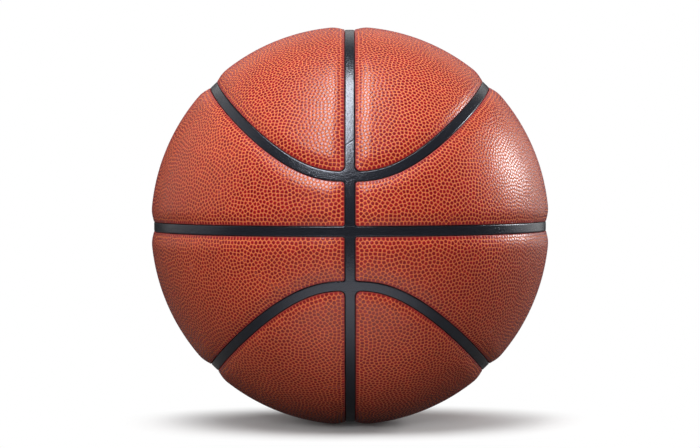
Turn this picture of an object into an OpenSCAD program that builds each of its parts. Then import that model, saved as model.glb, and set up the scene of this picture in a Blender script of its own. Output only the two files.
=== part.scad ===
// Basketball, built up from its layers: bladder, thread winding, carcass, cushion
// pads, cover panels, channel strips and the two-piece needle valve.
// Origin at the ball's centre, Z up. One great-circle seam lies in X = 0, one in
// Z = 0, and an oval seam rings each end of Z.

/* [Ball] */
// Diameter over the crowns of the cover panels
ball_d = 241; // [200:1:250]

/* [Seams] */
// Width of the channel between two panels
seam_w = 6.3; // [4:0.1:8]
// Depth of the channel floor below the crowns
seam_depth = 1.85; // [1.2:0.05:2.2]
// Clearance on each side of a channel strip
lay_gap = 0.1; // [0.05:0.05:0.3]
// Bond line under a channel strip
bond_gap = 0.05; // [0.02:0.01:0.1]
// Width over which a panel's border rolls down
roll_w = 9; // [5:0.5:10]
// Drop of a panel's rolled edge
edge_drop = 1.7; // [1:0.05:2]
// Plan radius at the corners of the end panels
end_corner_r = 3; // [1:0.25:4]
// Plan radius at the corners of the side panels
side_corner_r = 1; // [0.5:0.25:2]

/* [Layers] */
// Thickness of the cover panels over their pads
cover_t = 1.5; // [1:0.1:2]
// Thickness of the cushion pads
pad_t = 2; // [1.5:0.1:3]
// How far the pads stay inside the panel edges
pad_inset = 4; // [2:0.5:6]
// Thickness of the moulded rubber carcass
carcass_t = 0.9; // [0.6:0.1:2]
// Thickness of the thread winding
winding_t = 0.6; // [0.4:0.1:1.2]
// Wall of the air bladder
bladder_t = 0.7; // [0.5:0.1:1.5]

/* [Valve] */
// Longitude of the valve, from +X towards +Y
valve_lon = 68; // [60:1:76]
// Latitude of the valve, up from the equator
valve_lat = 10.5; // [9:0.5:12]
// Outside diameter of the valve neck in the cover
neck_d = 9; // [8:0.25:11]
// Depth of the neck's mouth below the crown
neck_recess = 0.4; // [0.2:0.1:1]
// Clearance round the neck in the cover and pad
neck_gap = 0.2; // [0.1:0.05:0.5]
// Diameter of the flange bonded inside the bladder
flange_d = 30; // [24:1:36]
// Thickness of that flange
flange_t = 1.6; // [1:0.1:2.5]
// Outside diameter of the boss inside the bladder
boss_d = 13; // [12:0.5:16]
// Length of the boss below the flange
boss_h = 8.6; // [7:0.2:12]
// Diameter of the valve core's stem
stem_d = 5.5; // [4.5:0.25:6.5]
// Diameter of the foot that locks the core
foot_d = 8.4; // [7.5:0.1:9.5]
// Height of that foot
foot_h = 3.5; // [2.5:0.25:5]
// Diameter of the needle bore
needle_d = 2.1; // [1.9:0.05:2.3]
// Depth of the needle bore from the core's top
needle_depth = 11; // [9:0.5:12]

/* [Hidden] */
$fn = 144;

// Radii, from the crown inwards
ball_r = ball_d / 2;
pad_r = ball_r - cover_t;
carcass_r = pad_r - pad_t;
winding_r = carcass_r - carcass_t;
bladder_r = winding_r - winding_t;
bladder_in_r = bladder_r - bladder_t;
strip_r = ball_r - seam_depth;
strip_in_r = carcass_r + bond_gap;
// Beyond every solid, for cutters that must pass right through
clear_share = 1.3;
far_r = ball_r * clear_share;
// How far a shorter cutter runs on past the face that it opens
overrun = neck_gap;

half_seam = seam_w / 2;
half_strip = half_seam - lay_gap;

// The oval seam seen along Z is a superellipse: its reach along X and Y as shares
// of the ball's radius, and its power
oval_x_share = 0.6917;
oval_y_share = 0.967;
oval_power = 2.186;
crossing_lat = acos(oval_y_share);

// A panel's roll: how far across it each bend lies, and where its last slope
// leaves the sphere. A narrow neck between two seams limits its width.
bend_shares = [0, 0.17, 0.4];
leave_share = 1.1;
neck_share = 0.46;
neck_w = ball_r * crossing_lat * PI / 180;
roll = min(roll_w, (neck_w * neck_share - half_seam) / leave_share);

// Stations round a panel's outline and along its spine
oval_steps = 64;
end_flat_steps = 40;
side_flat_steps = 48;
short_steps = 4;
pad_step_share = 0.5;
end_spine_steps = 24;
side_spine_steps = 40;
end_spine_share = 0.33;
end_spine_turn = 50;
side_spine_turn = 82;
strip_steps = 120;
foot_rounds = 4;
search_rounds = 13;

function unit(v) = v / norm(v);
function clamp(x, low, high) = max(low, min(high, x));
// A length along the ball's surface as an angle, and back
function arc(length) = length / ball_r * 180 / PI;
function span(angle) = angle / 180 * PI * ball_r;
function heading(lon, lat) = [cos(lat) * cos(lon), cos(lat) * sin(lon), sin(lat)];

// Direction from the ball's centre to the oval seam at plan angle a
function oval(a) =
    let(
        grown = pow(abs(cos(a)) / oval_x_share, oval_power) + pow(abs(sin(a)) / oval_y_share, oval_power),
        reach = pow(grown, -1 / oval_power),
        x = reach * cos(a),
        y = reach * sin(a)
    )
    [x, y, sqrt(1 - x * x - y * y)];

// Scale of the similar superellipse through direction p: 1 on the seam
function gauge(p) =
    pow(pow(abs(p.x) / oval_x_share, oval_power) + pow(abs(p.y) / oval_y_share, oval_power), 1 / oval_power);

// How that scale grows along the sphere's surface
function slope(p, g) =
    let(
        v = [
            sign(p.x) * pow(abs(p.x) / oval_x_share / g, oval_power - 1) / oval_x_share,
            sign(p.y) * pow(abs(p.y) / oval_y_share / g, oval_power - 1) / oval_y_share,
            0
        ]
    )
    v - (v * p) * p;

// Nearest direction on the oval seam, by repeated steps down the slope
function foot(p, rounds) =
    rounds == 0 ? p
    : let(g = gauge(p), v = slope(p, g)) foot(unit(p - v * (g - 1) / (v * v)), rounds - 1);

// Surface distances to the seams: positive inside the panel in question
function oval_gap(p) =
    let(q = foot(p, foot_rounds))
    (gauge(p) > 1 ? 1 : -1) * span(2 * asin(min(1, norm(p - q) / 2)));
function plane_gap(share) = span(asin(share));
function seam_gaps(p, end) =
    end ? [-oval_gap(p), plane_gap(p.x)] : [oval_gap(p), plane_gap(p.x), plane_gap(p.z)];

// How far p lies outside the panel's outline moved in by inset, corners rounded
function outside(p, end, inset, corner_r) =
    let(e = [for (gap = seam_gaps(p, end)) inset + corner_r - gap])
    norm([for (x = e) max(x, 0)]) + min(max(e), 0) - corner_r;

// Where the way from spine point o to seam point t crosses that outline
function between(o, t, share) = unit(o * (1 - share) + t * share);
function crossing(o, t, end, inset, corner_r, low = 0, high = 1, rounds = search_rounds) =
    let(middle = (low + high) / 2, p = between(o, t, middle))
    rounds == 0 ? p
    : outside(p, end, inset, corner_r) > 0
        ? crossing(o, t, end, inset, corner_r, low, middle, rounds - 1)
        : crossing(o, t, end, inset, corner_r, middle, high, rounds - 1);

// A panel's spine: directions along its middle, from front to back
function end_spine_at(turn) =
    let(across = sqrt(1 - end_spine_share * end_spine_share))
    [end_spine_share, across * sin(turn), across * cos(turn)];
function spine_steps(end, fine) = (end ? end_spine_steps : side_spine_steps) * fine;
function spine(end, steps) = [
    for (i = [0:steps])
        let(turn = 2 * i / steps - 1)
            end ? end_spine_at(end_spine_turn * turn) : heading(side_spine_turn * turn, crossing_lat / 2)
];

// Spine point nearest to a turn from the front (negative) to the back
function spine_index(turn, most, steps) = round((clamp(turn / most, -1, 1) + 1) / 2 * steps);
function end_turn(p) = asin(clamp(p.y / sqrt(1 - end_spine_share * end_spine_share), -1, 1));

// Seam points right round a panel, each with the spine point that it is seen from
function end_loop(fine) =
    let(ovals = oval_steps * fine, flats = end_flat_steps * fine, half_turn = 90 - crossing_lat)
    let(steps = spine_steps(true, fine))
    concat(
        [
            for (i = [0:ovals])
                let(p = oval(180 * i / ovals - 90)) [p, spine_index(end_turn(p), end_spine_turn, steps)]
        ],
        [
            for (i = [1:flats - 1])
                let(turn = half_turn * (1 - 2 * i / flats))
                    [[0, sin(turn), cos(turn)], spine_index(turn, end_spine_turn, steps)]
        ]
    );
function side_loop(fine) =
    let(ovals = oval_steps * fine, flats = side_flat_steps * fine, shorts = short_steps * fine)
    let(steps = spine_steps(false, fine))
    concat(
        [
            for (i = [0:ovals])
                let(a = 90 - 180 * i / ovals) [oval(a), spine_index(a, side_spine_turn, steps)]
        ],
        [for (i = [1:shorts - 1]) [heading(-90, crossing_lat * (1 - i / shorts)), 0]],
        [
            for (i = [0:flats])
                let(a = 180 * i / flats - 90) [heading(a, 0), spine_index(a, side_spine_turn, steps)]
        ],
        [for (i = [1:shorts - 1]) [heading(90, crossing_lat * i / shorts), steps]]
    );

// Wedge from the ball's centre out past the crown. Its side follows the panel's
// outline: each ring is an inset and the radius that the wedge has there.
module wedge(end, rings, corner_r, fine = 1) {
    ways = end ? end_loop(fine) : side_loop(fine);
    middle = spine(end, spine_steps(end, fine));
    count = len(ways);
    last = len(rings) - 1;
    outline = [
        for (ring = rings)
            for (way = ways)
                crossing(middle[way[1]], way[0], end, ring[0], corner_r) * ring[1]
    ];
    points = concat([[0, 0, 0]], outline, [for (way = middle) way * far_r]);
    function at(ring, i) = 1 + ring * count + i % count;
    function top(i) = 1 + (last + 1) * count + ways[i % count][1];
    faces = [
        for (i = [0:count - 1])
            each concat(
                [[0, at(0, i), at(0, i + 1)]],
                [
                    for (ring = [0:1:last - 1])
                        each [
                            [at(ring, i), at(ring + 1, i), at(ring + 1, i + 1)],
                            [at(ring, i), at(ring + 1, i + 1), at(ring, i + 1)]
                        ]
                ],
                [[at(last, i), top(i), at(last, i + 1)]],
                top(i) == top(i + 1) ? [] : [[top(i), top(i + 1), at(last, i + 1)]]
            )
    ];
    polyhedron(points, faces, convexity = 6);
}

module shell(outer_r, inner_r) {
    difference() {
        sphere(outer_r);
        sphere(inner_r);
    }
}

// Local Z runs out of the ball through the valve
module at_valve(height = 0) {
    rotate([0, 90 - valve_lat, valve_lon])
        translate([0, 0, height])
            children();
}

module valve_hole(d) {
    at_valve() cylinder(d = d, h = far_r);
}

module place(right, upper) {
    if (right && upper)
        children();
    else if (upper)
        mirror([1, 0, 0]) children();
    else if (right)
        mirror([0, 0, 1]) children();
    else
        mirror([1, 0, 0]) mirror([0, 0, 1]) children();
}

// A cover panel's roll as rings: an inset and a radius each
function edge_fall(share) = edge_drop * pow(1 - share, 2);
bends = len(bend_shares);
last_bend = bend_shares[bends - 1];
leave_rise = edge_fall(last_bend) * (leave_share - 1) / (1 - last_bend);
roll_rings = concat(
    [for (share = bend_shares) [half_seam + roll * share, ball_r - edge_fall(share)]],
    [for (r = [ball_r + leave_rise, far_r]) [half_seam + roll * leave_share, r]]
);
pad_rings = [[half_seam + pad_inset, far_r]];

function panel_corner_r(end) = end ? end_corner_r : side_corner_r;

module pad_room(end) {
    intersection() {
        sphere(pad_r);
        wedge(end, pad_rings, panel_corner_r(end), pad_step_share);
    }
}

module pad(end, right, upper, valve = false) {
    color("wheat") difference() {
        place(right, upper) difference() {
            pad_room(end);
            sphere(carcass_r);
        }
        if (valve) valve_hole(neck_d + 2 * neck_gap);
    }
}

module panel(end, right, upper, valve = false) {
    color("chocolate") difference() {
        place(right, upper) difference() {
            intersection() {
                shell(ball_r, carcass_r);
                wedge(end, roll_rings, panel_corner_r(end));
            }
            pad_room(end);
        }
        if (valve) valve_hole(neck_d + 2 * neck_gap);
    }
}

module layer(outer_r, inner_r) {
    difference() {
        shell(outer_r, inner_r);
        valve_hole(neck_d);
    }
}

module bladder() {
    color("dimgray") layer(bladder_r, bladder_in_r);
}

module winding() {
    color("ivory") layer(winding_r, bladder_r);
}

module carcass() {
    color("darkslategray") layer(carcass_r, winding_r);
}

// Heights along the valve's axis
mouth_h = ball_r - neck_recess;
flange_h = bladder_in_r - flange_t;
boss_end_h = flange_h - boss_h;

module valve_housing() {
    color("black") difference() {
        union() {
            intersection() {
                shell(bladder_in_r, flange_h);
                at_valve() cylinder(d = flange_d, h = far_r);
            }
            at_valve(boss_end_h) cylinder(d = boss_d, h = boss_h + flange_t / 2);
            at_valve(flange_h) cylinder(d = neck_d, h = mouth_h - flange_h);
        }
        valve_core_body(overrun);
    }
}

// The core's outside, run on past both ends where it is the housing's cutter
module valve_core_body(over = 0) {
    at_valve(boss_end_h - over) cylinder(d = foot_d, h = foot_h + over);
    at_valve(boss_end_h) cylinder(d = stem_d, h = mouth_h - boss_end_h + over);
}

module valve_core() {
    color("gray") difference() {
        valve_core_body();
        at_valve(mouth_h - needle_depth) cylinder(d = needle_d, h = far_r);
    }
}

// Cross-section of a strip on a great circle, for a revolve about the local Z
module strip_section() {
    intersection() {
        difference() {
            circle(strip_r);
            circle(strip_in_r);
        }
        translate([0, -half_strip]) square([ball_r, 2 * half_strip]);
    }
}

module strip_equator() {
    color("black") rotate_extrude() strip_section();
}

// Local Z runs out of the ball at a turn up from the front, in X = 0 or off it;
// local Y runs on along the turn
module at_turn(turn, off = 0) {
    rotate([90 - turn, 0, 0])
        rotate([0, off, 0])
            translate([0, 0, winding_r])
                children();
}

// Web that widens a strip's end into the rounded corners of two panels. It runs
// on past the end, where the strip is cut
module corner_web(turn, way, reach, corner_r) {
    for (side = [-1, 1])
        difference() {
            at_turn(turn)
                translate([side > 0 ? 0 : -reach, -corner_r, 0])
                    cube([reach, 2 * corner_r, far_r - winding_r]);
            at_turn(turn + way * arc(corner_r), side * arc(reach))
                cylinder(r = corner_r + lay_gap, h = far_r);
        }
}

// Part of the strip in X = 0, between two turns up from the front; over an end
// it meets the end panels' wider corners. Its shell is turned so that the
// sphere's poles lie in X, clear of the strip
module meridian_strip(from, to, end = false) {
    corner_r = panel_corner_r(end);
    reach = half_seam + corner_r;
    color("black") intersection() {
        rotate([-90, 0, 0]) rotate([0, 90, 0]) shell(strip_r, strip_in_r);
        rotate([0, -90, 0])
            rotate_extrude(angle = to - from, start = from - 90)
                translate([0, -reach]) square([far_r, 2 * reach]);
        union() {
            cube([2 * half_strip, 2 * far_r, 2 * far_r], center = true);
            corner_web(from, 1, reach, corner_r);
            corner_web(to, -1, reach, corner_r);
        }
    }
}

// The strip in the oval seam, as a swept four-cornered section
module oval_strip(upper) {
    function across(a) = unit(cross(oval(a), oval(a + 1) - oval(a - 1)));
    function beside(a, side) = oval(a) * cos(arc(side)) + across(a) * sin(arc(side));
    section = [
        [-half_strip, strip_in_r],
        [-half_strip, strip_r],
        [half_strip, strip_r],
        [half_strip, strip_in_r]
    ];
    corners = len(section);
    points = [
        for (i = [0:strip_steps - 1])
            for (corner = section)
                beside(360 * i / strip_steps, corner[0]) * corner[1]
    ];
    function at(i, k) = corners * (i % strip_steps) + k % corners;
    faces = [
        for (i = [0:strip_steps - 1])
            for (k = [0:corners - 1])
                each [
                    [at(i, k), at(i, k + 1), at(i + 1, k + 1)],
                    [at(i, k), at(i + 1, k + 1), at(i + 1, k)]
                ]
    ];
    color("black") place(true, upper) polyhedron(points, faces, convexity = 4);
}

// Turns along the meridian where the crossing strips begin and end
low_end = arc(half_seam);
below_oval = crossing_lat - arc(half_seam);
above_oval = crossing_lat + arc(half_seam);

bladder();
winding();
carcass();
valve_housing();
valve_core();

pad(true, false, true);  // pad_end_upper_left
pad(true, true, true);  // pad_end_upper_right
pad(true, false, false);  // pad_end_lower_left
pad(true, true, false);  // pad_end_lower_right
pad(false, false, true);  // pad_side_upper_left
pad(false, true, true, valve = true);  // pad_side_upper_right
pad(false, false, false);  // pad_side_lower_left
pad(false, true, false);  // pad_side_lower_right

panel(true, false, true);  // panel_end_upper_left
panel(true, true, true);  // panel_end_upper_right
panel(true, false, false);  // panel_end_lower_left
panel(true, true, false);  // panel_end_lower_right
panel(false, false, true);  // panel_side_upper_left
panel(false, true, true, valve = true);  // panel_side_upper_right
panel(false, false, false);  // panel_side_lower_left
panel(false, true, false);  // panel_side_lower_right

strip_equator();
oval_strip(true);  // strip_oval_upper
oval_strip(false);  // strip_oval_lower
meridian_strip(above_oval, 180 - above_oval, end = true);  // strip_top
meridian_strip(180 + above_oval, 360 - above_oval, end = true);  // strip_bottom
meridian_strip(low_end, below_oval);  // strip_front_upper
meridian_strip(-below_oval, -low_end);  // strip_front_lower
meridian_strip(180 - below_oval, 180 - low_end);  // strip_back_upper
meridian_strip(180 + low_end, 180 + below_oval);  // strip_back_lower
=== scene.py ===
import math

import bmesh
import bpy
import numpy as np
from mathutils import Matrix, Vector, kdtree
from mathutils.geometry import delaunay_2d_cdt


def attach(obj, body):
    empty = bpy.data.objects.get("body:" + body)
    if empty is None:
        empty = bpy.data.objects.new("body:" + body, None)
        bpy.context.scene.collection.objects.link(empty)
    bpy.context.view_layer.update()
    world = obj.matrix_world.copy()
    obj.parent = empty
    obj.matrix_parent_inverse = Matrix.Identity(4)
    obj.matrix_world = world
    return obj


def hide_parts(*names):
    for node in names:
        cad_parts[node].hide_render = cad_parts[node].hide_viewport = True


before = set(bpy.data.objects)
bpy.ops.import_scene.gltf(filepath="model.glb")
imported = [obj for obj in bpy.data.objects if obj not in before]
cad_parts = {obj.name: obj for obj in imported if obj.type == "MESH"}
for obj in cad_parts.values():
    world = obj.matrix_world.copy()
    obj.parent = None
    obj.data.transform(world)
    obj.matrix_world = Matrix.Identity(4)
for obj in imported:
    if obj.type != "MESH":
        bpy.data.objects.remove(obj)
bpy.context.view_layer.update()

BODY = "root"
MM = 0.001

# Sizes in mm, and the ovals' reaches as shares of the radius
BALL_R = 120.5
CARCASS_R = 117.0
PAD_R = 119.0
STRIP_R = 118.65
HALF_SEAM = 3.15      # from a seam's middle to the panels' outlines
EDGE_DROP = 1.7       # how far a panel rolls down at its outline
ROLL = 9.0            # how wide that roll is
ROLL_BEND = 0.7       # share of the roll that bends before it slopes straight
OVAL_X, OVAL_Y, OVAL_POWER = 0.6917, 0.967, 2.186
CROSSING = math.acos(OVAL_Y)   # the turn up to where oval and upright seam cross
END_CORNER, SIDE_CORNER = 3.0, 1.0
BED_GAP, PAD_GAP = 0.05, 0.03  # clear of the carcass and of the pads
VALVE_LON, VALVE_LAT = math.radians(68.0), math.radians(10.5)
VALVE_HOLE = 4.7
VALVE_ROLL = 2.6
VALVE_DROP = 0.35

PITCH = 2.38          # between neighbouring pebbles
PEBBLE_H = 0.135      # from the net's floor to a pebble's top
# Rings round a pebble: how far out towards its cell's corners and towards its
# sides, and how high as a share of the top
RINGS = ((0.42, 0.48, 0.93), (0.70, 0.79, 0.70))
SIDE = PITCH / math.sqrt(3)   # of an even six-sided cell
SIDE_FADE = (0.1, 0.9)        # sides this short or long, as shares of SIDE
SUNK = 0.74           # share of a pebble that lies under the cover's own surface
TALL, TALL_SPREAD = 0.93, 0.14   # a pebble's height as a share, by chance
MILD, MILD_SPREAD, MILD_CELLS = 0.9, 0.2, 9.0   # slow swings of all heights
CALM_EDGE = 0.7       # the pebbles fade out this near the outline
LIP = 0.28            # depth of the thin rim under the outline
SEAT = 2.5            # width of the border that lies on the carcass
EDGE_SHADE_W = 0.35          # width of the dark line painted along the outline in the pebbles' colour: painted shade of the gap beside it

EASE_ROUNDS = 34
FIRST_EASE, LAST_EASE, LAST_FROM = 0.42, 0.25, 26
CELL_AREA = 0.866     # in squared pitches
NEIGHBOURS = 7        # pebbles that push one pebble away
PUSH_REACH, START_ROOM, EDGE_ROOM = 1.35, 0.25, 0.33   # in pitches
GHOST_REACH, PANEL_GHOST_REACH = 1.7, 2.4              # in pitches
GHOST_ROOM = 0.1
PROBE = 0.02          # step of the gradients
OUTLINE_ROUNDS, LEAST_SLOPE = 4, 0.05


# Maths on the sphere
def unit(v):
    return v / np.linalg.norm(v, axis=-1, keepdims=True)


def smooth(low, high, x):
    t = np.clip((x - low) / (high - low), 0.0, 1.0)
    return t * t * (3.0 - 2.0 * t)


def gauge(p):
    """1 on the oval seam, less inside it."""
    x, y = np.abs(p[:, 0]) / OVAL_X, np.abs(p[:, 1]) / OVAL_Y
    return np.maximum((x**OVAL_POWER + y**OVAL_POWER) ** (1 / OVAL_POWER), 1e-9)


def slope(p, g):
    """Gradient of the gauge along the sphere."""
    x = np.sign(p[:, 0]) * (np.abs(p[:, 0]) / OVAL_X / g) ** (OVAL_POWER - 1) / OVAL_X
    y = np.sign(p[:, 1]) * (np.abs(p[:, 1]) / OVAL_Y / g) ** (OVAL_POWER - 1) / OVAL_Y
    v = np.stack([x, y, np.zeros_like(x)], 1)
    return v - (v * p).sum(1, keepdims=True) * p


def oval_gap(p):
    """Distance along the surface to the oval seam, positive outside it."""
    q = p
    for _ in range(5):
        g = gauge(q)
        v = slope(q, g)
        q = unit(q - v * ((g - 1) / np.maximum((v * v).sum(1), 1e-9))[:, None])
    far = 2 * BALL_R * np.arcsin(np.minimum(1.0, np.linalg.norm(p - q, axis=1) / 2))
    return np.where(gauge(p) > 1, far, -far)


def plane_gap(share):
    """Distance along the surface to a plane through the middle."""
    return BALL_R * np.arcsin(np.clip(share, -1, 1))


VALVE = np.array([
    math.cos(VALVE_LAT) * math.cos(VALVE_LON),
    math.cos(VALVE_LAT) * math.sin(VALVE_LON),
    math.sin(VALVE_LAT),
])


def valve_gap(p):
    return BALL_R * np.arccos(np.clip(p @ VALVE, -1, 1)) - VALVE_HOLE


def seam_gaps(p, end):
    """Distances from p into a panel from each seam round it."""
    if end:
        return [-oval_gap(p), plane_gap(p[:, 0])]
    return [oval_gap(p), plane_gap(p[:, 0]), plane_gap(p[:, 2])]


def outside(p, end, valve=False):
    """How far p lies outside a panel's outline, whose corners are rounded."""
    r = END_CORNER if end else SIDE_CORNER
    e = np.stack([HALF_SEAM + r - gap for gap in seam_gaps(p, end)])
    far = np.sqrt((np.maximum(e, 0) ** 2).sum(0)) + np.minimum(e.max(0), 0) - r
    return np.maximum(far, -valve_gap(p)) if valve else far


def uphill(p, value, of):
    """Gradient of the field along the surface, per mm."""
    step = PROBE / BALL_R
    a = unit(np.cross(p, np.where(np.abs(p[:, :1]) < 0.8, [[1.0, 0, 0]], [[0, 1.0, 0]])))
    b = np.cross(p, a)
    da = (of(unit(p + a * step)) - value) / PROBE
    db = (of(unit(p + b * step)) - value) / PROBE
    return a * da[:, None] + b * db[:, None]


def to_outline(p, of):
    """Moves points down a field's gradient to where it is nought."""
    for _ in range(OUTLINE_ROUNDS):
        value = of(p)
        g = uphill(p, value, of)
        size = np.maximum((g * g).sum(1), LEAST_SLOPE)
        p = unit(p - g * (value / size / BALL_R)[:, None])
    return p


def hashed(ix, iy, iz, seed):
    """An integer hash of a cell, spread from 0 to 1."""
    n = (ix * 374761393 + iy * 668265263 + iz * 1274126177 + seed * 974711) & 0xFFFFFFFF
    n = ((n ^ (n >> 13)) * 1103515245) & 0xFFFFFFFF
    n = ((n ^ (n >> 15)) * 2246822519) & 0xFFFFFFFF
    return ((n ^ (n >> 16)) & 0xFFFFFF) / float(0xFFFFFF)


def noise(p, seed=0):
    """Smooth value noise from 0 to 1, one cell a unit."""
    base = np.floor(p).astype(np.int64)
    f = p - base
    f = f * f * (3 - 2 * f)
    total = 0.0
    for dx in (0, 1):
        for dy in (0, 1):
            for dz in (0, 1):
                w = (
                    (f[:, 0] if dx else 1 - f[:, 0])
                    * (f[:, 1] if dy else 1 - f[:, 1])
                    * (f[:, 2] if dz else 1 - f[:, 2])
                )
                total = total + w * hashed(
                    base[:, 0] + dx, base[:, 1] + dy, base[:, 2] + dz, seed
                )
    return total


# Meshes
def make_object(name, points, faces, attributes=None, flip=False):
    """An object from points in mm and lists of index arrays, three or four wide."""
    used = np.unique(np.concatenate([f.ravel() for f in faces]))
    index = np.full(len(points), -1, np.int64)
    index[used] = np.arange(len(used))
    points = points[used]
    me = bpy.data.meshes.new(name)
    if flip:
        faces = [f[:, ::-1] for f in faces]
    loops = np.concatenate([index[f].ravel() for f in faces])
    sizes = np.concatenate([np.full(len(f), f.shape[1]) for f in faces])
    starts = np.concatenate([[0], np.cumsum(sizes)[:-1]])
    me.vertices.add(len(points))
    me.vertices.foreach_set("co", (points * MM).astype(np.float32).ravel())
    me.loops.add(len(loops))
    me.loops.foreach_set("vertex_index", loops.astype(np.int32))
    me.polygons.add(len(sizes))
    me.polygons.foreach_set("loop_start", starts.astype(np.int32))
    me.update(calc_edges=True)
    me.validate()
    me.polygons.foreach_set("use_smooth", np.ones(len(me.polygons), bool))
    for key, values in (attributes or {}).items():
        a = me.attributes.new(key, "FLOAT", "POINT")
        a.data.foreach_set("value", values[used].astype(np.float32))
    ob = bpy.data.objects.new(name, me)
    bpy.context.scene.collection.objects.link(ob)
    return ob


# Pebbled cover panels
def scatter(end, valve, rng):
    """Pebble centres over a panel: scattered, then eased apart."""
    def far(p):
        return outside(p, end, valve)

    total = 4 * math.pi * BALL_R**2
    wanted = int(round(total / (CELL_AREA * PITCH**2)))
    p = unit(rng.normal(size=(wanted, 3)))
    # The sphere folded into the panel's quarter has four times too many
    p[:, 0] = np.abs(p[:, 0])
    p[:, 2] = np.abs(p[:, 2])
    inside = far(p) < -START_ROOM * PITCH
    count = inside.sum() // 4
    p = p[inside][:count]
    share = PITCH / BALL_R
    for turn in range(EASE_ROUNDS):
        ghosts = reflect(p, far, GHOST_REACH * PITCH)
        every = np.concatenate([p, ghosts])
        tree = kdtree.KDTree(len(every))
        for i, q in enumerate(every):
            tree.insert(q, i)
        tree.balance()
        near = np.empty((len(p), NEIGHBOURS), np.int64)
        for i, q in enumerate(p):
            near[i] = [hit[1] for hit in tree.find_n(q, NEIGHBOURS + 1)][1:]
        way = p[:, None] - every[near]
        gap = np.linalg.norm(way, axis=2)
        push = np.clip(PUSH_REACH * share - gap, 0, None)
        ease = FIRST_EASE if turn < LAST_FROM else LAST_EASE
        p = unit(p + (way / np.maximum(gap, 1e-9)[..., None] * push[..., None]).sum(1) * ease)
        value = far(p)
        out = value > -EDGE_ROOM * PITCH
        if out.any():
            g = uphill(p[out], value[out], far)
            back = (value[out] + EDGE_ROOM * PITCH) / BALL_R
            p[out] = unit(p[out] - unit(g) * back[:, None])
    return p


def reflect(p, far, reach):
    """Mirror images of the centres near the outline, so that cells end on it."""
    value = far(p)
    close = value > -reach
    q, value = p[close], value[close]
    g = unit(uphill(q, value, far))
    q = unit(q - 2 * g * (value / BALL_R)[:, None])
    return q[far(q) > GHOST_ROOM]


def neighbours(p):
    """Delaunay triangles of points on one side of the sphere, seen from outside.

    A stereographic view keeps circles, so its flat triangles are the sphere's."""
    middle = unit(p.mean(0))
    across = unit(np.cross(middle, [0.0, 0.0, 1.0]))
    up = np.cross(middle, across)
    depth = 1 + p @ middle
    flat = [(a, b) for a, b in zip(p @ across / depth, p @ up / depth)]
    _, _, tris, _, _, _ = delaunay_2d_cdt(flat, [], [], 0, 1e-9)
    tris = np.array([t for t in tris], np.int64)
    n = np.cross(p[tris[:, 1]] - p[tris[:, 0]], p[tris[:, 2]] - p[tris[:, 0]])
    wrong = (n * p[tris].mean(1)).sum(1) < 0
    tris[wrong] = tris[wrong][:, ::-1]
    n[wrong] *= -1
    return tris, unit(n)


def panel_height(p, end, valve):
    """Radius of the puffed surface before its pebbles."""
    left = 1.0
    for gap in seam_gaps(p, end):
        w = np.clip(1 - (gap - HALF_SEAM) / ROLL, 0, 1)
        straight = np.maximum(w - ROLL_BEND, 0)
        round_part = np.minimum(w, ROLL_BEND)
        fall = round_part**2 / ROLL_BEND + 2 * straight
        left = left * (1 - fall / (2 - ROLL_BEND))
    r = BALL_R - EDGE_DROP * (1 - left)
    if valve:
        w = np.clip(1 - valve_gap(p) / VALVE_ROLL, 0, 1)
        r = r - VALVE_DROP * w * w
    return r


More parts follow.
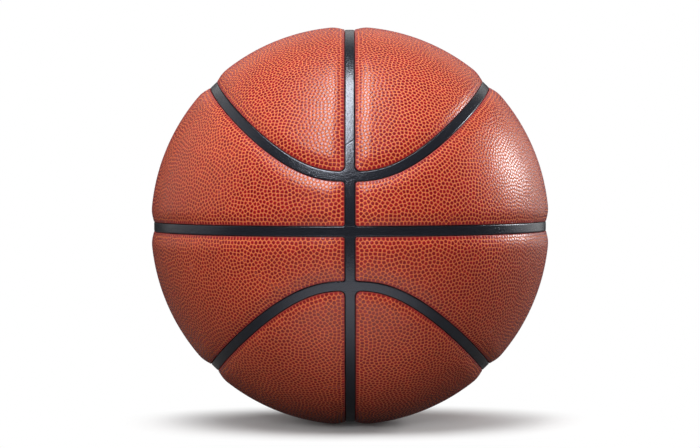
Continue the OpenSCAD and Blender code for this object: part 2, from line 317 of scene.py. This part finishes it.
def panel(name, end, right, upper, valve, seed):
    """A pebbled cover panel: each cell of the scatter is a pebble in its net."""
    rng = np.random.RandomState(seed)

    def far(q):
        return outside(q, end, valve)

    p = scatter(end, valve, rng)
    count = len(p)
    every = np.concatenate([p, reflect(p, far, PANEL_GHOST_REACH * PITCH)])
    tris, v_dir = neighbours(every)
    # A triangle's three corners each start a half-edge to the next corner, and
    # its twin is the half-edge that runs the other way
    corners = len(tris) * 3
    start, stop = tris.ravel(), tris[:, [1, 2, 0]].ravel()
    size = len(every)
    key, twin_key = start * size + stop, stop * size + start
    order = np.argsort(key)
    found = np.minimum(np.searchsorted(key[order], twin_key), corners - 1)
    twin = np.where(key[order][found] == twin_key, order[found], np.arange(corners))
    left = np.arange(corners) // 3
    right_tri = twin // 3
    after_twin = right_tri * 3 + (twin % 3 + 1) % 3
    edge = np.minimum(np.arange(corners), twin)

    # Cells meet at the triangles' circumcentres, which are their normals, and
    # those between a pebble and a mirrored one are moved onto the outline
    real = start < count
    rim_edge = real & (stop >= count)
    near_v = np.unique(np.concatenate([left[rim_edge], right_tri[rim_edge]]))
    v_dir[near_v] = to_outline(v_dir[near_v], far)
    m_dir = unit(v_dir[left] + v_dir[right_tri])
    near_m = np.unique(edge[rim_edge])
    m_dir[near_m] = to_outline(m_dir[near_m], far)
    m_dir = m_dir[edge]

    c = every[start]
    # On a short side of a cell, its pebble comes no farther out than at corners
    side = np.linalg.norm(v_dir[left] - v_dir[right_tri], axis=1) * BALL_R / SIDE
    full = smooth(*SIDE_FADE, side)[:, None]
    # Blocks of points: centres, corners and sides of each ring, the net's
    # corners and the middles of its sides
    blocks, levels = [every], [np.ones(size)]
    for to_corner, to_side, level in RINGS:
        blocks.append(unit(c + (v_dir[left] - c) * to_corner))
        blocks.append(unit(c + (m_dir - c) * (to_corner + (to_side - to_corner) * full)))
        levels.append(np.full(2 * corners, level))
    at_v = size + 2 * corners * len(RINGS)
    at_m = at_v + len(tris)
    net = len(tris) + corners
    dirs = np.concatenate(blocks + [v_dir, m_dir])
    dome = np.concatenate(levels + [np.zeros(net)])
    owner = rng.uniform(size=size)
    tall = TALL + TALL_SPREAD * rng.uniform(size=size)
    tone = np.concatenate([owner] + [owner[start]] * 2 * len(RINGS) + [np.full(net, 0.5)])
    high = np.concatenate([tall] + [tall[start]] * 2 * len(RINGS) + [np.ones(net)])

    h = np.nonzero(real)[0]
    i, m = start[h], at_m + edge[h]
    vl, vr = at_v + left[h], at_v + right_tri[h]
    bands = []
    for ring in range(len(RINGS)):
        at_p = size + 2 * corners * ring
        pl, pr, q = at_p + h, at_p + after_twin[h], at_p + corners + h
        if ring:
            bands += [np.stack([pr_in, pr, q, q_in], 1), np.stack([q_in, q, pl, pl_in], 1)]
        else:
            fans = np.concatenate([np.stack([i, pr, q], 1), np.stack([i, q, pl], 1)])
        pl_in, pr_in, q_in = pl, pr, q
    bands += [np.stack([pr, vr, m, q], 1), np.stack([q, m, vl, pl], 1)]
    flanks = np.concatenate(bands)

    inside = -far(dirs)
    edge_fade = smooth(0.0, CALM_EDGE, inside)
    r = panel_height(dirs, end, valve)
    mild = MILD + MILD_SPREAD * noise(dirs * MILD_CELLS, seed)
    relief = PEBBLE_H * (dome * high * mild - SUNK)
    r = r + relief * edge_fade
    points = dirs * r[:, None]

    # Rolled-under rim, wall and the face that lies on the pad and the carcass
    b = np.nonzero(rim_edge)[0]
    loop = np.concatenate([
        np.stack([at_v + right_tri[b], at_m + edge[b]], 1),
        np.stack([at_m + edge[b], at_v + left[b]], 1),
    ])
    base = len(points)
    lip = points * ((r - LIP) / r)[:, None]
    foot = dirs * (CARCASS_R + BED_GAP)
    under = np.where(inside > SEAT, PAD_R + PAD_GAP, CARCASS_R + BED_GAP)
    floor = dirs * under[:, None]
    points = np.concatenate([points, lip, foot, floor])
    lip_at, foot_at, floor_at = base, 2 * base, 3 * base
    a, z = loop[:, 0], loop[:, 1]
    walls = np.concatenate([
        np.stack([a, a + lip_at, z + lip_at, z], 1),
        np.stack([a + lip_at, a + foot_at, z + foot_at, z + lip_at], 1),
    ])
    kinds = (tris < count).sum(1)
    whole = tris[kinds == 3] + floor_at
    parts = [whole[:, ::-1]]
    two = np.nonzero(kinds == 2)[0]
    for k in range(3):
        after = (k + 1) % 3
        t = two[(tris[two, k] < count) & (tris[two, after] < count)]
        ends = tris[t, k] + floor_at, tris[t, after] + floor_at
        parts.append(np.stack([*ends, at_v + t + foot_at], 1)[:, ::-1])
    i, m = start[b] + floor_at, at_m + edge[b] + foot_at
    vl, vr = at_v + left[b] + foot_at, at_v + right_tri[b] + foot_at
    parts.append(np.stack([i, vr, m], 1)[:, ::-1])
    parts.append(np.stack([i, m, vl], 1)[:, ::-1])

    if not right:
        points[:, 0] *= -1
    if not upper:
        points[:, 2] *= -1
    copies = 4
    attributes = {
        "dome": np.tile(dome, copies),
        "tone": np.tile(tone, copies),
        # painted shade: a dark line along the outline
        "edge_shade": np.tile(1 - smooth(0.0, EDGE_SHADE_W, inside), copies),
    }
    return make_object(
        name, points, [fans, flanks, walls] + parts, attributes, flip=right != upper
    )


# Channel strips
LAY_GAP = 0.1                  # between strip and panel
STRIP_EDGE, STRIP_EDGE_W = 0.42, 0.75      # drop and width of the round border
EDGE_POWER = 1.5
JOINT_TURN, JOINT_SLANT = 0.4259, 0.0060   # radians, radians a mm to the right
JOINT_DEPTH, JOINT_W = 0.16, 0.28
# The rubber's grain: its height, and the layers of noise that make it up, each
# with cells a mm, reach of the warp in cells, seed and share
GRAIN = 0.07
WARP_CELLS, WARP_SHIFT, WARP_SEED = 0.9, 17.3, 5
GRAIN_LAYERS = ((1.35, 1.6, 11, 0.6), (2.9, 2.0, 12, 0.4))
RIDGE_LAYER = (0.95, 2.2, 13, 0.45)
# Stations across a strip, closer at its borders
ACROSS = np.concatenate([
    [-1.0, -0.985, -0.955, -0.91, -0.85],
    np.linspace(-0.77, 0.77, 13),
    [0.85, 0.91, 0.955, 0.985, 1.0],
])
HALF_STRIP = HALF_SEAM - LAY_GAP
BUTT = HALF_STRIP + 0.03       # where a strip's end stops beside another strip
EQUATOR_STATIONS = 1800
OVAL_STATIONS = 1400
LONG_STATIONS, SHORT_STATIONS = 1000, 110
FLARE = 7.4                    # widest half of a strip where the panels part
FLARE_REACH, FLARE_STEPS = 7.5, 26
PAST_CROSSING = 0.2            # radians in which a long strip's end is found
HALVINGS = 40                  # rounds of a search by halves


def panel_distance(p):
    """From the channel network to the nearest panel's outline."""
    q = np.abs(p)
    return np.minimum(outside(q, True), outside(q, False))


def joint_groove(p):
    """Where the two ends of the long top strip are cut aslant and meet."""
    turn = np.arctan2(p[:, 2], -p[:, 1])
    far = (turn - JOINT_TURN - JOINT_SLANT * BALL_R * p[:, 0]) * BALL_R
    return -JOINT_DEPTH * np.exp(-((far / JOINT_W) ** 2))


def strip_relief(p):
    """Height of the rubber: rounded borders and a fine wrinkled grain."""
    gap = panel_distance(p) - LAY_GAP
    fall = STRIP_EDGE * (1 - smooth(0.0, STRIP_EDGE_W, gap)) ** EDGE_POWER
    q = p * BALL_R
    warp = np.stack(
        [noise(q * WARP_CELLS + k * WARP_SHIFT, WARP_SEED + k) for k in range(3)], 1
    ) - 0.5
    fine = 0.0
    for cells, reach, seed, share in GRAIN_LAYERS:
        fine = fine + noise(q * cells + warp * reach, seed) * share
    cells, reach, seed, share = RIDGE_LAYER
    ridge = 1 - np.abs(2 * noise(q * cells + warp * reach, seed) - 1)
    grain = GRAIN * ((1 - share) * fine + share * ridge - 0.5)
    return -fall + grain, grain / GRAIN + 0.5


def quads(a, b, c, d):
    return np.stack([a.ravel(), b.ravel(), c.ravel(), d.ravel()], 1)


def strip_from_grid(name, top, closed):
    """A strip from a grid of directions (stations, across, 3)."""
    n, k, _ = top.shape
    flat = top.reshape(-1, 3)
    relief, grain = strip_relief(flat)
    if name == "channel_top":
        relief = relief + joint_groove(flat)
    upper = flat * (STRIP_R + relief)[:, None]
    lower = flat * (CARCASS_R + BED_GAP)
    at = np.arange(n * k).reshape(n, k)
    nxt = np.roll(at, -1, 0) if closed else at[1:]
    cur = at if closed else at[:-1]
    o = n * k
    faces = [
        quads(cur[:, :-1], nxt[:, :-1], nxt[:, 1:], cur[:, 1:]),
        quads(cur[:, :-1], cur[:, 1:], nxt[:, 1:], nxt[:, :-1]) + o,
        quads(cur[:, 0], cur[:, 0] + o, nxt[:, 0] + o, nxt[:, 0]),
        quads(cur[:, -1], nxt[:, -1], nxt[:, -1] + o, cur[:, -1] + o),
    ]
    if not closed:
        faces.append(quads(at[0, :-1], at[0, 1:], at[0, 1:] + o, at[0, :-1] + o))
        faces.append(quads(at[-1, :-1], at[-1, :-1] + o, at[-1, 1:] + o, at[-1, 1:]))
    points = np.concatenate([upper, lower])
    ob = make_object(name, points, faces, {"grain": np.tile(grain, 2)})
    bm = bmesh.new()
    bm.from_mesh(ob.data)
    bmesh.ops.recalc_face_normals(bm, faces=bm.faces[:])
    bm.to_mesh(ob.data)
    bm.free()
    return ob


def strip_equator():
    lon = np.linspace(0, 2 * math.pi, EQUATOR_STATIONS, endpoint=False)
    lat = HALF_STRIP / BALL_R * ACROSS
    lo, la = np.meshgrid(lon, lat, indexing="ij")
    grid = np.stack([np.cos(la) * np.cos(lo), np.cos(la) * np.sin(lo), np.sin(la)], 2)
    return strip_from_grid("channel_equator", grid, True)


def oval(a):
    """Points of the upper oval seam at angles seen from above."""
    c, s = np.cos(a), np.sin(a)
    total = np.abs(c / OVAL_X) ** OVAL_POWER + np.abs(s / OVAL_Y) ** OVAL_POWER
    reach = total ** (-1 / OVAL_POWER)
    x, y = reach * c, reach * s
    return np.stack([x, y, np.sqrt(np.maximum(0, 1 - x * x - y * y))], -1)


def strip_oval(name, upper):
    a = np.linspace(0, 2 * math.pi, OVAL_STATIONS, endpoint=False)
    middle = oval(a)
    side = unit(np.cross(middle, oval(a + 1e-4) - oval(a - 1e-4)))
    turn = (HALF_STRIP / BALL_R * ACROSS)[None, :, None]
    grid = middle[:, None] * np.cos(turn) + side[:, None] * np.sin(turn)
    if not upper:
        grid = grid * [1, 1, -1]
    return strip_from_grid(name, grid, True)


def meridian_point(x, turn):
    """x in mm off the meridian, turn up from the front."""
    xi = x / BALL_R
    return np.stack([np.sin(xi), -np.cos(xi) * np.cos(turn), np.cos(xi) * np.sin(turn)], -1)


def edge_turn(x, gap, low, high):
    """Turn at which the oval gap along x reaches the given value."""
    low, high = np.full_like(x, low), np.full_like(x, high)
    rising = oval_gap(meridian_point(x, low)) < gap
    for _ in range(HALVINGS):
        mid = (low + high) / 2
        under = oval_gap(meridian_point(x, mid)) < gap
        same = under == rising
        low, high = np.where(same, mid, low), np.where(same, high, mid)
    return (low + high) / 2


def flare(turn):
    """Half width of a meridian strip at each turn: out to the panels."""
    low, high = np.full_like(turn, 0.0), np.full_like(turn, FLARE)
    for _ in range(HALVINGS):
        mid = (low + high) / 2
        clear = panel_distance(meridian_point(mid, turn)) > LAY_GAP
        low, high = np.where(clear, mid, low), np.where(clear, high, mid)
    return (low + high) / 2


def strip_meridian(name, short, up, back):
    """A strip in X = 0: a long one over an end, or a short one below the oval."""
    xs = np.linspace(0, FLARE_REACH, FLARE_STEPS)
    if short:
        start = np.arcsin(np.sin(BUTT / BALL_R) / np.cos(xs / BALL_R))
        stop = edge_turn(xs, BUTT, BUTT / BALL_R, CROSSING)
        v = 0.5 - 0.5 * np.cos(np.linspace(0, 1, SHORT_STATIONS) * math.pi)
    else:
        start = edge_turn(xs, -BUTT, CROSSING, CROSSING + PAST_CROSSING)
        stop = math.pi - start
        # Closer together near both ends
        v = np.linspace(0, 1, LONG_STATIONS)
        v = np.interp(v, [0, 0.04, 0.96, 1], [0, 0.012, 0.988, 1])
    middle = start[0] + v * (stop[0] - start[0])
    half = flare(middle)
    x = half[:, None] * ACROSS[None, :]
    s = np.interp(np.abs(x), xs, start)
    e = np.interp(np.abs(x), xs, stop)
    turn = s + v[:, None] * (e - s)
    grid = meridian_point(x, turn)
    if back:
        grid = grid * [1, -1, 1]
    if not up:
        grid = grid * [1, 1, -1]
    return strip_from_grid(name, grid, False)


# Materials
def new_material(name, color, roughness):
    m = bpy.data.materials.new(name)
    m.use_nodes = True
    nt = m.node_tree
    b = nt.nodes["Principled BSDF"]
    b.inputs["Base Color"].default_value = (*color, 1)
    b.inputs["Roughness"].default_value = roughness
    m.diffuse_color = (*color, 1)
    return m, nt, b


def roughen(nt, b, height, strength, depth):
    """Bump from a height, as deep as depth in metres."""
    bump = nt.nodes.new("ShaderNodeBump")
    bump.inputs["Strength"].default_value = strength
    bump.inputs["Distance"].default_value = depth
    nt.links.new(height, bump.inputs["Height"])
    nt.links.new(bump.outputs["Normal"], b.inputs["Normal"])


def grey(level):
    return (level, level, level, 1)


def ramp(nt, stops, source):
    n = nt.nodes.new("ShaderNodeValToRGB")
    cr = n.color_ramp
    while len(cr.elements) > 1:
        cr.elements.remove(cr.elements[-1])
    cr.elements[0].position = stops[0][0]
    cr.elements[0].color = stops[0][1]
    for at, color in stops[1:]:
        e = cr.elements.new(at)
        e.color = color
    nt.links.new(source, n.inputs["Fac"])
    return n


def attribute(nt, name):
    n = nt.nodes.new("ShaderNodeAttribute")
    n.attribute_name = name
    return n.outputs["Fac"]


def mix_color(nt, fac, a, b, blend="MIX"):
    n = nt.nodes.new("ShaderNodeMix")
    n.data_type = "RGBA"
    n.blend_type = blend
    # The node keeps sockets for every kind of value: these three are a colour's
    for at, value in ((0, fac), (6, a), (7, b)):
        if isinstance(value, (int, float, tuple)):
            n.inputs[at].default_value = value
        else:
            nt.links.new(value, n.inputs[at])
    return n.outputs[2]


def math_node(nt, op, a, b=None, c=None):
    n = nt.nodes.new("ShaderNodeMath")
    n.operation = op
    for at, value in enumerate((a, b, c)):
        if value is None:
            continue
        if isinstance(value, (int, float)):
            n.inputs[at].default_value = value
        else:
            nt.links.new(value, n.inputs[at])
    return n.outputs[0]


def noise_tex(nt, scale, detail=2.0, rough=0.5, distortion=0.0):
    coord = nt.nodes.new("ShaderNodeTexCoord")
    n = nt.nodes.new("ShaderNodeTexNoise")
    n.inputs["Scale"].default_value = scale
    n.inputs["Detail"].default_value = detail
    n.inputs["Roughness"].default_value = rough
    n.inputs["Distortion"].default_value = distortion
    nt.links.new(coord.outputs["Object"], n.inputs["Vector"])
    return n.outputs["Fac"]


PEBBLE_DARK, PEBBLE_LIGHT = (0.164, 0.0030, 0.0062, 1), (0.242, 0.0060, 0.0090, 1)
NET_DARK, NET_LIGHT = (0.60, 0.141, 0.031, 1), (0.725, 0.192, 0.046, 1)
CHANNEL_DARK, CHANNEL_LIGHT = (0.003, 0.0032, 0.0045, 1), (0.009, 0.0100, 0.0150, 1)


def cover_material():
    m, nt, b = new_material("composite_leather", (0.40, 0.07, 0.025), 0.5)
    dome, tone, edge_shade = attribute(nt, "dome"), attribute(nt, "tone"), attribute(nt, "edge_shade")
    broad = noise_tex(nt, 14.0, 3.0, 0.55)
    # Dark pebbles with a little variety, on a brighter net
    pebble = mix_color(nt, tone, PEBBLE_DARK, PEBBLE_LIGHT)
    net = mix_color(nt, broad, NET_DARK, NET_LIGHT)
    mask = ramp(nt, [(0.25, grey(0)), (0.49, grey(1))], dome)
    color = mix_color(nt, mask.outputs["Color"], net, pebble)
    # Along the outline the colour turns to the pebbles' dark red: painted shade of the gap
    # beside the channel
    color = mix_color(nt, edge_shade, color, pebble)
    shade = ramp(nt, [(0.30, grey(0.90)), (0.72, grey(1.06))], broad)
    color = mix_color(nt, 1.0, color, shade.outputs["Color"], "MULTIPLY")
    nt.links.new(color, b.inputs["Base Color"])
    # The pebbles' tops are polished, the net between them is dull
    polish = ramp(nt, [(0.60, grey(0)), (0.82, grey(1))], dome)
    rough = math_node(nt, "MULTIPLY_ADD", polish.outputs["Color"], -0.50, 0.72)
    grime = noise_tex(nt, 60.0, 3.0, 0.6)
    rough = math_node(nt, "MULTIPLY_ADD", grime, 0.08, rough)
    nt.links.new(rough, b.inputs["Roughness"])
    b.inputs["Specular IOR Level"].default_value = 0.62
    roughen(nt, b, noise_tex(nt, 2600.0, 2.0, 0.6), 0.25, 0.00004)
    return m


def channel_material():
    m, nt, b = new_material("channel_rubber", (0.02, 0.021, 0.025), 0.45)
    grain = attribute(nt, "grain")
    broad = noise_tex(nt, 30.0, 3.0, 0.5)
    color = mix_color(nt, grain, CHANNEL_DARK, CHANNEL_LIGHT)
    shade = ramp(nt, [(0.3, grey(0.85)), (0.7, grey(1.1))], broad)
    color = mix_color(nt, 1.0, color, shade.outputs["Color"], "MULTIPLY")
    nt.links.new(color, b.inputs["Base Color"])
    rough = math_node(nt, "MULTIPLY_ADD", broad, 0.08, 0.17)
    nt.links.new(rough, b.inputs["Roughness"])
    b.inputs["Specular IOR Level"].default_value = 0.80
    b.inputs["Specular Tint"].default_value = (0.82, 0.87, 1.0, 1)
    roughen(nt, b, noise_tex(nt, 1050.0, 2.0, 0.55, 1.2), 1.0, 0.0001)
    return m


def plain_material(name, dark, light, roughness, scale, depth=0.0001):
    """A matt inner material with mottled colour and a light texture."""
    m, nt, b = new_material(name, dark, roughness)
    broad = noise_tex(nt, scale, 4.0, 0.6)
    color = mix_color(nt, broad, (*dark, 1), (*light, 1))
    nt.links.new(color, b.inputs["Base Color"])
    rough = math_node(nt, "MULTIPLY_ADD", broad, 0.15, roughness - 0.07)
    nt.links.new(rough, b.inputs["Roughness"])
    roughen(nt, b, noise_tex(nt, scale * 22, 2.0, 0.6), 0.4, depth)
    return m


def winding_material():
    """Nylon thread laid round the bladder in many directions."""
    m, nt, b = new_material("nylon_thread", (0.62, 0.58, 0.48), 0.6)
    coord = nt.nodes.new("ShaderNodeTexCoord")
    heights = None
    for turn in ((0.0, 0.3, 0.2), (1.1, 0.2, 0.9), (0.5, 1.3, 0.4)):
        mapping = nt.nodes.new("ShaderNodeMapping")
        mapping.inputs["Rotation"].default_value = turn
        wave = nt.nodes.new("ShaderNodeTexWave")
        wave.inputs["Scale"].default_value = 420.0
        wave.inputs["Distortion"].default_value = 1.2
        nt.links.new(coord.outputs["Object"], mapping.inputs["Vector"])
        nt.links.new(mapping.outputs["Vector"], wave.inputs["Vector"])
        one = wave.outputs["Fac"]
        heights = one if heights is None else math_node(nt, "MAXIMUM", heights, one)
    color = ramp(nt, [(0.2, (0.35, 0.31, 0.24, 1)), (0.9, (0.72, 0.68, 0.58, 1))], heights)
    nt.links.new(color.outputs["Color"], b.inputs["Base Color"])
    roughen(nt, b, heights, 0.6, 0.0003)
    return m


def dress(ob, material):
    ob.data.materials.clear()
    ob.data.materials.append(material)


# Pieces
LEATHER, RUBBER = cover_material(), channel_material()
seed = 101
for end in (True, False):
    for upper in (True, False):
        for right in (False, True):
            key = "{}_{}_{}".format(
                "end" if end else "side",
                "upper" if upper else "lower",
                "right" if right else "left",
            )
            valve = key == "side_upper_right"
            ob = panel("cover_" + key, end, right, upper, valve, seed)
            seed += 1
            dress(ob, LEATHER)
            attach(ob, BODY)
            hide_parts("panel_" + key)

strips = [
    (strip_equator(), "strip_equator"),
    (strip_oval("channel_oval_upper", True), "strip_oval_upper"),
    (strip_oval("channel_oval_lower", False), "strip_oval_lower"),
    (strip_meridian("channel_top", False, True, False), "strip_top"),
    (strip_meridian("channel_bottom", False, False, False), "strip_bottom"),
]
for back in (False, True):
    for up in (True, False):
        key = "{}_{}".format("back" if back else "front", "upper" if up else "lower")
        strips.append((strip_meridian("channel_" + key, True, up, back), "strip_" + key))
for ob, name in strips:
    dress(ob, RUBBER)
    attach(ob, BODY)
    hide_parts(name)

# The inner nodes are carried over from the CAD
inner = {
    "bladder": plain_material(
        "butyl_bladder", (0.018, 0.018, 0.02), (0.04, 0.04, 0.045), 0.45, 40.0
    ),
    "winding": winding_material(),
    "carcass": plain_material(
        "carcass_rubber", (0.05, 0.048, 0.045), (0.09, 0.085, 0.08), 0.7, 60.0
    ),
    "valve_housing": plain_material(
        "valve_rubber", (0.016, 0.016, 0.018), (0.034, 0.034, 0.038), 0.42, 260.0, 0.00004
    ),
    "valve_core": plain_material(
        "core_rubber", (0.05, 0.05, 0.055), (0.10, 0.10, 0.11), 0.5, 300.0, 0.00004
    ),
    "pad": plain_material(
        "sponge_rubber", (0.50, 0.42, 0.28), (0.68, 0.60, 0.44), 0.85, 120.0, 0.0004
    ),
}
for name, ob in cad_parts.items():
    for key, material in inner.items():
        if name.startswith(key):
            dress(ob, material)

# Floor, light
FLOOR_Z, FLOOR_HALF = -0.12006, 6.0
FLOOR_SEEN, FLOOR_BOUNCE, FLOOR_FRONT = 0.68, 0.09, 0.60
PATCH_MIDDLE, PATCH_FADE = (0.0, -0.25, 0.0), (0.05, 0.19)
# The white glow's ellipse round the ball, which trims the floor's shadow: painted light
GLOW_STRETCH, GLOW_SHIFT = (1.0, 1.75, 1.0), (-0.004, 0.0, 0.0)
GLOW_FADE = (0.072, 0.168)
DOME_LEVEL, DOME_UP = 0.06, 0.10


def fade(nt, distance, reach, ends=(0.0, 1.0)):
    """From one end to the other as a distance crosses the reach."""
    n = nt.nodes.new("ShaderNodeMapRange")
    n.interpolation_type = "SMOOTHSTEP"
    n.inputs["From Min"].default_value, n.inputs["From Max"].default_value = reach
    n.inputs["To Min"].default_value, n.inputs["To Max"].default_value = ends
    nt.links.new(distance, n.inputs["Value"])
    return n.outputs["Result"]


def floor_material():
    m, nt, b = new_material("paper_floor", (0.80, 0.80, 0.80), 0.9)
    b.inputs["Specular IOR Level"].default_value = 0.0
    path = nt.nodes.new("ShaderNodeLightPath")
    camera_ray = path.outputs["Is Camera Ray"]
    grain = noise_tex(nt, 3.0, 2.0)
    paper = mix_color(nt, grain, grey(FLOOR_SEEN), grey(FLOOR_SEEN + 0.01))
    # It lights the ball from just in front, and little from elsewhere
    coord = nt.nodes.new("ShaderNodeTexCoord")
    apart = nt.nodes.new("ShaderNodeVectorMath")
    apart.operation = "DISTANCE"
    apart.inputs[1].default_value = PATCH_MIDDLE
    nt.links.new(coord.outputs["Object"], apart.inputs[0])
    patch = fade(nt, apart.outputs["Value"], PATCH_FADE, (FLOOR_FRONT, FLOOR_BOUNCE))
    color = mix_color(nt, camera_ray, patch, paper)
    nt.links.new(color, b.inputs["Base Color"])
    # The paper glows faintly, lifting the darkest core of the ball's shadow: painted light
    b.inputs["Emission Color"].default_value = grey(1)
    b.inputs["Emission Strength"].default_value = 0.02
    glow = nt.nodes.new("ShaderNodeEmission")
    glow.inputs["Color"].default_value = grey(1)
    # Away from the ball the paper glows plain white to the camera. Its ellipse is stretched
    # and shifted so that it also sets where the ball's shadow fades out: painted light at the
    # shadow's edge
    ellipse = nt.nodes.new("ShaderNodeVectorMath")
    ellipse.operation = "MULTIPLY_ADD"
    ellipse.inputs[1].default_value = GLOW_STRETCH
    ellipse.inputs[2].default_value = GLOW_SHIFT
    nt.links.new(coord.outputs["Object"], ellipse.inputs[0])
    length = nt.nodes.new("ShaderNodeVectorMath")
    length.operation = "LENGTH"
    nt.links.new(ellipse.outputs["Vector"], length.inputs[0])
    far = fade(nt, length.outputs["Value"], GLOW_FADE)
    glow_share = math_node(nt, "MULTIPLY", far, camera_ray)
    near = nt.nodes.new("ShaderNodeMixShader")
    nt.links.new(glow_share, near.inputs[0])
    nt.links.new(b.outputs["BSDF"], near.inputs[1])
    nt.links.new(glow.outputs["Emission"], near.inputs[2])
    nt.links.new(near.outputs["Shader"], nt.nodes["Material Output"].inputs["Surface"])
    return m


def floor_piece():
    me = bpy.data.meshes.new("studio_floor")
    bm = bmesh.new()
    bmesh.ops.create_grid(bm, x_segments=2, y_segments=2, size=FLOOR_HALF)
    bm.to_mesh(me)
    bm.free()
    ob = bpy.data.objects.new("studio_floor", me)
    ob.location.z = FLOOR_Z
    bpy.context.scene.collection.objects.link(ob)
    dress(ob, floor_material())


def studio_world():
    """White to the camera, and to all else a soft dome, brighter overhead."""
    world = bpy.data.worlds.new("studio")
    bpy.context.scene.world = world
    world.use_nodes = True
    nt = world.node_tree
    back = nt.nodes["Background"]
    back.inputs["Color"].default_value = grey(1)
    path = nt.nodes.new("ShaderNodeLightPath")
    rays = path.outputs["Is Camera Ray"], path.outputs["Is Transmission Ray"]
    seen = math_node(nt, "MAXIMUM", *rays)
    coord = nt.nodes.new("ShaderNodeTexCoord")
    split = nt.nodes.new("ShaderNodeSeparateXYZ")
    nt.links.new(coord.outputs["Generated"], split.inputs["Vector"])
    dome = math_node(nt, "MULTIPLY_ADD", split.outputs["Z"], DOME_UP, DOME_LEVEL)
    dome = math_node(nt, "MAXIMUM", dome, 0.0)
    level = nt.nodes.new("ShaderNodeMix")
    nt.links.new(seen, level.inputs[0])
    nt.links.new(dome, level.inputs[2])
    level.inputs[3].default_value = 1.0
    nt.links.new(level.outputs[0], back.inputs["Strength"])


floor_piece()
studio_world()


def softbox(name, at, target, width, height, watts):
    light = bpy.data.lights.new(name, "AREA")
    light.shape = "RECTANGLE"
    light.size, light.size_y = width, height
    light.energy = watts
    ob = bpy.data.objects.new(name, light)
    ob.location = at
    ob.rotation_euler = (Vector(target) - Vector(at)).to_track_quat("-Z", "Y").to_euler()
    bpy.context.scene.collection.objects.link(ob)
    return ob


# Name, place, target, width, height and watts
softbox("top_box", (-0.12, -0.54, 1.195), (0, 0, 0.05), 0.40, 1.42, 24.5)
softbox("right_box", (1.10, 0.40, 0.40), (0, 0, 0), 0.34, 0.36, 8.0)
softbox("right_haze", (1.15, 0.78, 0.0), (0, 0, 0), 1.2, 1.2, 4.0)
softbox("left_haze", (-1.3, 0.35, 0.45), (0, 0, 0), 1.6, 1.6, 3.6)
softbox("back_haze", (0.0, 1.4, 0.9), (0, 0, 0), 2.0, 0.8, 2.6)
# These light the colours alone, and don't show in the gloss
for fill in (
    softbox("top_fill", (0.0, -0.56, 1.19), (0, 0, 0.05), 0.62, 1.10, 2),
    softbox("left_fill", (-2.0, -0.3, 0.6), (0, 0, 0), 1.0, 1.0, 8),
    softbox("front_fill", (-0.3, -2.2, 0.7), (0, 0, 0), 1.2, 0.8, 30),
    softbox("right_fill", (1.9, -0.3, 0.1), (0, 0, 0), 0.8, 0.3, 4.0),
):
    fill.visible_glossy = False

# Camera
LENS, SENSOR, SHIFT_Y = 101.8, 36.0, 0.0023
ELEVATION, TILT, DISTANCE = math.radians(1.61), math.radians(0.115), 1.205


def photo_camera():
    camera = bpy.data.cameras.new("photo_camera")
    camera.lens = LENS
    camera.sensor_width = SENSOR
    camera.shift_y = SHIFT_Y
    ob = bpy.data.objects.new("photo_camera", camera)
    right_axis = Vector((1, 0, 0))
    up_axis = Vector((0, math.sin(ELEVATION), math.cos(ELEVATION)))
    back_axis = Vector((0, -math.cos(ELEVATION), math.sin(ELEVATION)))
    turn = Matrix((right_axis, up_axis, back_axis)).transposed()
    turn = turn @ Matrix.Rotation(-TILT, 3, "Z")
    ob.matrix_world = Matrix.Translation(back_axis * DISTANCE) @ turn.to_4x4()
    bpy.context.scene.collection.objects.link(ob)
    bpy.context.scene.camera = ob


photo_camera()
bpy.context.scene.view_settings.view_transform = "Standard"
